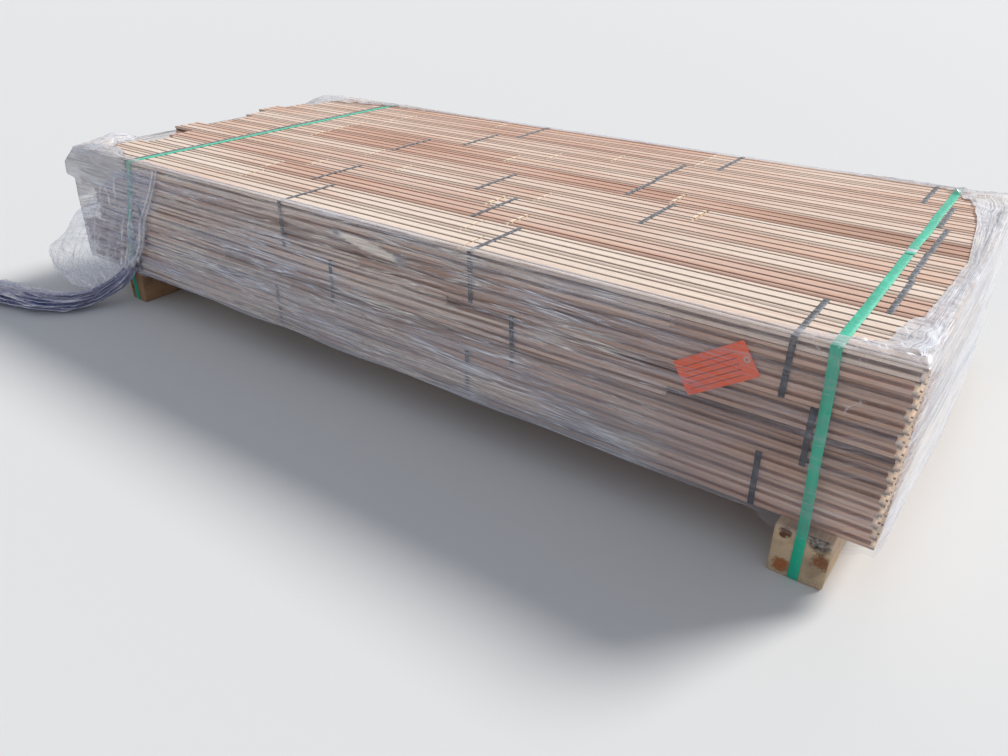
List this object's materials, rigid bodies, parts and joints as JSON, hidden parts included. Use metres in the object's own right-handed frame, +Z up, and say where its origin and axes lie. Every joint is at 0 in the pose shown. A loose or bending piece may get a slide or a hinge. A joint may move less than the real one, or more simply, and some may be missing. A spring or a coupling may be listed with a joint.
{
  "type": "stack of tongue and groove flooring boards",
  "caption": "Strapped bundles of oak tongue and groove flooring boards, stacked on two timber bunks and wrapped in clear film with a gathered tail",
  "frame": {"origin": "centre of the whole object's box in plan, on the ground under the bunks", "axes": "X runs along the boards, +X to the end away from the film's tail; Y runs across the boards, -Y is the front face with the tag; Z is up"},
  "size_m": [2.3392, 1.2174, 0.381],
  "materials": {
    "oak": "planed, unfinished",
    "bunk_pale": "sawn",
    "bunk_dull": "sawn, weathered",
    "bundle_strap": "satin",
    "unit_strap": "embossed, satin",
    "film": "clear stretch film",
    "film_gathered": "crumpled clear film",
    "tag": "coated card",
    "eyelet": "stamped"
  },
  "bodies": {
    "root": {"bottom_bundle_1": "oak", "bottom_bundle_1_straps": "bundle_strap", "bottom_bundle_2": "oak", "bottom_bundle_2_straps": "bundle_strap", "bottom_bundle_3": "oak", "bottom_bundle_3_straps": "bundle_strap", "bottom_bundle_4": "oak", "bottom_bundle_4_straps": "bundle_strap", "bottom_bundle_5": "oak", "bottom_bundle_5_straps": "bundle_strap", "bottom_bundle_6": "oak", "bottom_bundle_6_straps": "bundle_strap", "bunk_left": "bunk_dull", "bunk_right": "bunk_pale", "film_tail": "film_gathered", "film_wrap": "film", "middle_bundle_1": "oak", "middle_bundle_1_straps": "bundle_strap", "middle_bundle_2": "oak", "middle_bundle_3": "oak", "middle_bundle_4": "oak", "middle_bundle_5": "oak", "middle_bundle_6": "oak", "middle_bundle_6_straps": "bundle_strap", "tag": "tag", "tag_eyelet": "eyelet", "top_bundle_1": "oak", "top_bundle_1_straps": "bundle_strap", "top_bundle_2": "oak", "top_bundle_2_straps": "bundle_strap", "top_bundle_3": "oak", "top_bundle_3_straps": "bundle_strap", "top_bundle_4": "oak", "top_bundle_4_straps": "bundle_strap", "top_bundle_5": "oak", "top_bundle_5_straps": "bundle_strap", "top_bundle_6": "oak", "top_bundle_6_straps": "bundle_strap", "unit_strap_left": "unit_strap", "unit_strap_right": "unit_strap"}
  },
  "joints": []
}
